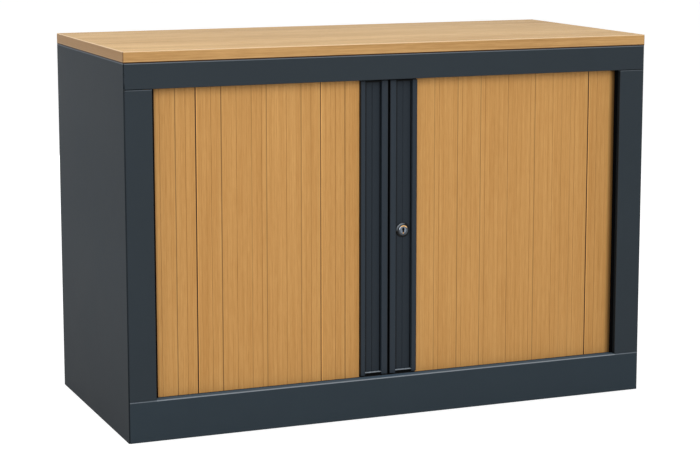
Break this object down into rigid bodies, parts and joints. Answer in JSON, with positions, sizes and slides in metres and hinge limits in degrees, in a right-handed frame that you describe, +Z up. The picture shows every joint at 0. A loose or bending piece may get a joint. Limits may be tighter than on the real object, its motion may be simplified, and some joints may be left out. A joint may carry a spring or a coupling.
{
  "type": "sliding door cabinet",
  "caption": "Low side-opening tambour cupboard: folded-steel body, oak-effect top and lath curtains, twin leading bars with a finger pull and a turning lock.",
  "frame": {"origin": "on the floor, under the middle of the body", "axes": "+X to the right seen from the front, +Y to the back, +Z up"},
  "size_m": [1, 0.45, 0.675],
  "materials": {
    "frame_steel": "satin powder coat, anthracite",
    "side_steel": "satin powder coat, anthracite",
    "bar_finish": "satin powder coat, anthracite",
    "bar_cap": "moulded, satin",
    "dark_plastic": "moulded, matt",
    "oak_curtain": "oak effect, satin",
    "oak_top": "oak effect, satin",
    "zinc": "zinc plated",
    "lock_bright": "nickel plated, worn to brass at the rim"
  },
  "bodies": {
    "carcass": {"top_panel": "oak_top", "roof_pan": "frame_steel", "ceiling_tray": "frame_steel", "left_side_panel": "side_steel", "right_side_panel": "side_steel", "left_post": "frame_steel", "right_post": "frame_steel", "top_rail": "frame_steel", "plinth": "frame_steel", "base_pan": "frame_steel", "floor_tray": "frame_steel", "back_panel": "frame_steel", "left_lining": "side_steel", "right_lining": "side_steel", "shelf": "side_steel", "shelf_clips": "zinc", "left_top_track": "dark_plastic", "right_top_track": "dark_plastic", "left_bottom_track": "dark_plastic", "right_bottom_track": "dark_plastic", "track_stops": "dark_plastic", "top_screws": "zinc", "foot_brackets": "zinc", "access_caps": "dark_plastic"},
    "left_leading_bar": {"left_bar": "bar_finish", "left_bar_caps": "bar_cap", "keeper_pin": "zinc", "left_lath_1": "oak_curtain"},
    "right_leading_bar": {"right_bar": "bar_finish", "right_bar_caps": "bar_cap", "lock_collar": "dark_plastic", "lock_body": "lock_bright", "lock_nut": "zinc", "right_lath_1": "oak_curtain"},
    "lock_works": {"lock_plug": "lock_bright", "lock_hook": "zinc"},
    "foot_front_left": {"foot_front_left": "dark_plastic"},
    "foot_front_right": {"foot_front_right": "dark_plastic"},
    "foot_rear_left": {"foot_rear_left": "dark_plastic"},
    "foot_rear_right": {"foot_rear_right": "dark_plastic"},
    "left_lath_2": {"left_lath_2": "oak_curtain"},
    "left_lath_3": {"left_lath_3": "oak_curtain"},
    "left_lath_4": {"left_lath_4": "oak_curtain"},
    "left_lath_5": {"left_lath_5": "oak_curtain"},
    "left_lath_6": {"left_lath_6": "oak_curtain"},
    "left_lath_7": {"left_lath_7": "oak_curtain"},
    "left_lath_8": {"left_lath_8": "oak_curtain"},
    "left_lath_9": {"left_lath_9": "oak_curtain"},
    "right_lath_2": {"right_lath_2": "oak_curtain"},
    "right_lath_3": {"right_lath_3": "oak_curtain"},
    "right_lath_4": {"right_lath_4": "oak_curtain"},
    "right_lath_5": {"right_lath_5": "oak_curtain"},
    "right_lath_6": {"right_lath_6": "oak_curtain"},
    "right_lath_7": {"right_lath_7": "oak_curtain"},
    "right_lath_8": {"right_lath_8": "oak_curtain"},
    "right_lath_9": {"right_lath_9": "oak_curtain"}
  },
  "joints": [
    {"name": "left_curtain_slide", "type": "slide", "parent": "carcass", "child": "left_leading_bar", "axis": [-1, 0, 0], "range_m": [0, 0.38375], "deforming": ["left_lath_1"]},
    {"name": "right_curtain_slide", "type": "slide", "parent": "carcass", "child": "right_leading_bar", "axis": [1, 0, 0], "range_m": [0, 0.40275], "deforming": ["right_lath_1"]},
    {"name": "left_lath_2_slide", "type": "slide", "parent": "carcass", "child": "left_lath_2", "axis": [-1, 0, 0], "range_m": [0, 0.33775], "deforming": ["left_lath_2"]},
    {"name": "left_lath_3_slide", "type": "slide", "parent": "carcass", "child": "left_lath_3", "axis": [-1, 0, 0], "range_m": [0, 0.29175], "deforming": ["left_lath_3"]},
    {"name": "left_lath_4_slide", "type": "slide", "parent": "carcass", "child": "left_lath_4", "axis": [-1, 0, 0], "range_m": [0, 0.24575], "deforming": ["left_lath_4"]},
    {"name": "left_lath_5_slide", "type": "slide", "parent": "carcass", "child": "left_lath_5", "axis": [-1, 0, 0], "range_m": [0, 0.19975], "deforming": ["left_lath_5"]},
    {"name": "left_lath_6_slide", "type": "slide", "parent": "carcass", "child": "left_lath_6", "axis": [-1, 0, 0], "range_m": [0, 0.15375], "deforming": ["left_lath_6"]},
    {"name": "left_lath_7_slide", "type": "slide", "parent": "carcass", "child": "left_lath_7", "axis": [-1, 0, 0], "range_m": [0, 0.10775], "deforming": ["left_lath_7"]},
    {"name": "left_lath_8_slide", "type": "slide", "parent": "carcass", "child": "left_lath_8", "axis": [-1, 0, 0], "range_m": [0, 0.06175], "deforming": ["left_lath_8"]},
    {"name": "left_lath_9_slide", "type": "slide", "parent": "carcass", "child": "left_lath_9", "axis": [-1, 0, 0], "range_m": [0, 0.01575], "deforming": ["left_lath_9"]},
    {"name": "right_lath_2_slide", "type": "slide", "parent": "carcass", "child": "right_lath_2", "axis": [1, 0, 0], "range_m": [0, 0.35675], "deforming": ["right_lath_2"]},
    {"name": "right_lath_3_slide", "type": "slide", "parent": "carcass", "child": "right_lath_3", "axis": [1, 0, 0], "range_m": [0, 0.31075], "deforming": ["right_lath_3"]},
    {"name": "right_lath_4_slide", "type": "slide", "parent": "carcass", "child": "right_lath_4", "axis": [1, 0, 0], "range_m": [0, 0.26475], "deforming": ["right_lath_4"]},
    {"name": "right_lath_5_slide", "type": "slide", "parent": "carcass", "child": "right_lath_5", "axis": [1, 0, 0], "range_m": [0, 0.21875], "deforming": ["right_lath_5"]},
    {"name": "right_lath_6_slide", "type": "slide", "parent": "carcass", "child": "right_lath_6", "axis": [1, 0, 0], "range_m": [0, 0.17275], "deforming": ["right_lath_6"]},
    {"name": "right_lath_7_slide", "type": "slide", "parent": "carcass", "child": "right_lath_7", "axis": [1, 0, 0], "range_m": [0, 0.12675], "deforming": ["right_lath_7"]},
    {"name": "right_lath_8_slide", "type": "slide", "parent": "carcass", "child": "right_lath_8", "axis": [1, 0, 0], "range_m": [0, 0.08075], "deforming": ["right_lath_8"]},
    {"name": "right_lath_9_slide", "type": "slide", "parent": "carcass", "child": "right_lath_9", "axis": [1, 0, 0], "range_m": [0, 0.03475], "deforming": ["right_lath_9"]},
    {"name": "lock_turn", "type": "hinge", "parent": "right_leading_bar", "child": "lock_works", "pos_m": [0.02025, -0.19, 0.336], "axis": [0, -1, 0], "range_deg": [0, 90]},
    {"name": "foot_front_left_adjust", "type": "slide", "parent": "carcass", "child": "foot_front_left", "axis": [0, 0, -1], "range_m": [0, 0.01]},
    {"name": "foot_front_right_adjust", "type": "slide", "parent": "carcass", "child": "foot_front_right", "axis": [0, 0, -1], "range_m": [0, 0.01]},
    {"name": "foot_rear_left_adjust", "type": "slide", "parent": "carcass", "child": "foot_rear_left", "axis": [0, 0, -1], "range_m": [0, 0.01]},
    {"name": "foot_rear_right_adjust", "type": "slide", "parent": "carcass", "child": "foot_rear_right", "axis": [0, 0, -1], "range_m": [0, 0.01]}
  ],
  "couplings": [
    {"joint": "left_lath_2_slide", "follows": "left_curtain_slide", "ratio": 0.88013},
    {"joint": "left_lath_3_slide", "follows": "left_curtain_slide", "ratio": 0.76026},
    {"joint": "left_lath_4_slide", "follows": "left_curtain_slide", "ratio": 0.64039},
    {"joint": "left_lath_5_slide", "follows": "left_curtain_slide", "ratio": 0.52052},
    {"joint": "left_lath_6_slide", "follows": "left_curtain_slide", "ratio": 0.40065},
    {"joint": "left_lath_7_slide", "follows": "left_curtain_slide", "ratio": 0.28078},
    {"joint": "left_lath_8_slide", "follows": "left_curtain_slide", "ratio": 0.16091},
    {"joint": "left_lath_9_slide", "follows": "left_curtain_slide", "ratio": 0.041042},
    {"joint": "right_lath_2_slide", "follows": "right_curtain_slide", "ratio": 0.88579},
    {"joint": "right_lath_3_slide", "follows": "right_curtain_slide", "ratio": 0.77157},
    {"joint": "right_lath_4_slide", "follows": "right_curtain_slide", "ratio": 0.65736},
    {"joint": "right_lath_5_slide", "follows": "right_curtain_slide", "ratio": 0.54314},
    {"joint": "right_lath_6_slide", "follows": "right_curtain_slide", "ratio": 0.42893},
    {"joint": "right_lath_7_slide", "follows": "right_curtain_slide", "ratio": 0.31471},
    {"joint": "right_lath_8_slide", "follows": "right_curtain_slide", "ratio": 0.2005},
    {"joint": "right_lath_9_slide", "follows": "right_curtain_slide", "ratio": 0.086282}
  ]
}
